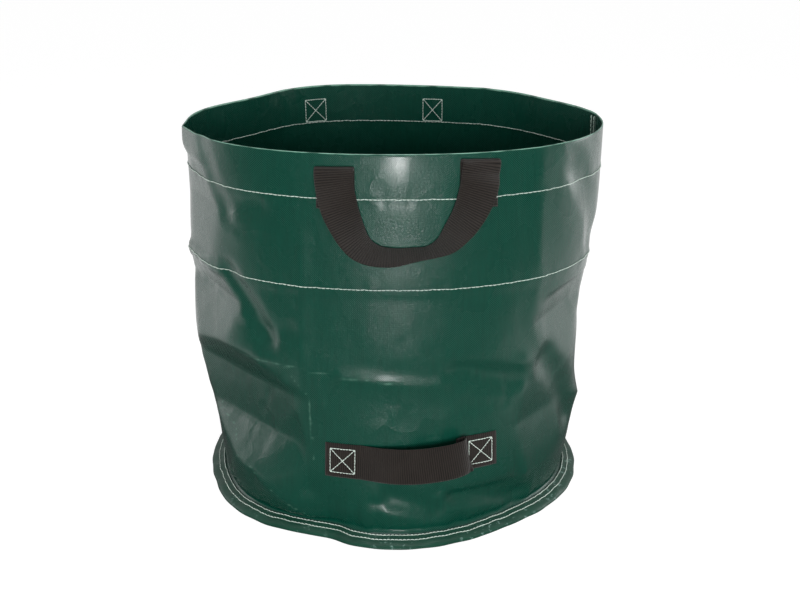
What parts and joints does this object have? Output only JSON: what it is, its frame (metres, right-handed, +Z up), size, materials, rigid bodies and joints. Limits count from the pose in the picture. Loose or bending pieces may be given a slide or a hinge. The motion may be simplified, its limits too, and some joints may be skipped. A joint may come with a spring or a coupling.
{
  "type": "garden waste bag",
  "caption": "Soft round bag of green woven sheet with a deep stitched hem, webbing lifting loops, a low tipping handle and a bound base seam.",
  "frame": {"origin": "middle of the flat underside of the base, on the ground", "axes": "+Z up, the front with the low handle faces -Y, +X to the right seen from the front"},
  "size_m": [0.4828, 0.4716, 0.433],
  "materials": {
    "woven_sheet": "woven plastic sheet with a soft sheen",
    "binding_tape": "woven tape",
    "webbing": "ribbed matte webbing",
    "thread": "pale sewing thread"
  },
  "bodies": {
    "root": {"side_wall": "woven_sheet", "base_panel": "woven_sheet", "base_binding": "binding_tape", "front_handle": "webbing", "rear_handle": "webbing", "lower_handle": "webbing", "upper_hem_thread": "thread", "upper_hem_thread_inside": "thread", "lower_hem_thread": "thread", "lower_hem_thread_inside": "thread", "seam_thread_outer": "thread", "seam_thread_inner": "thread", "side_seam_thread_front": "thread", "side_seam_thread_rear": "thread", "front_handle_box_stitch_left": "thread", "front_handle_box_stitch_right": "thread", "rear_handle_box_stitch_left": "thread", "rear_handle_box_stitch_right": "thread", "lower_handle_box_stitch_left": "thread", "lower_handle_box_stitch_right": "thread"}
  },
  "joints": []
}
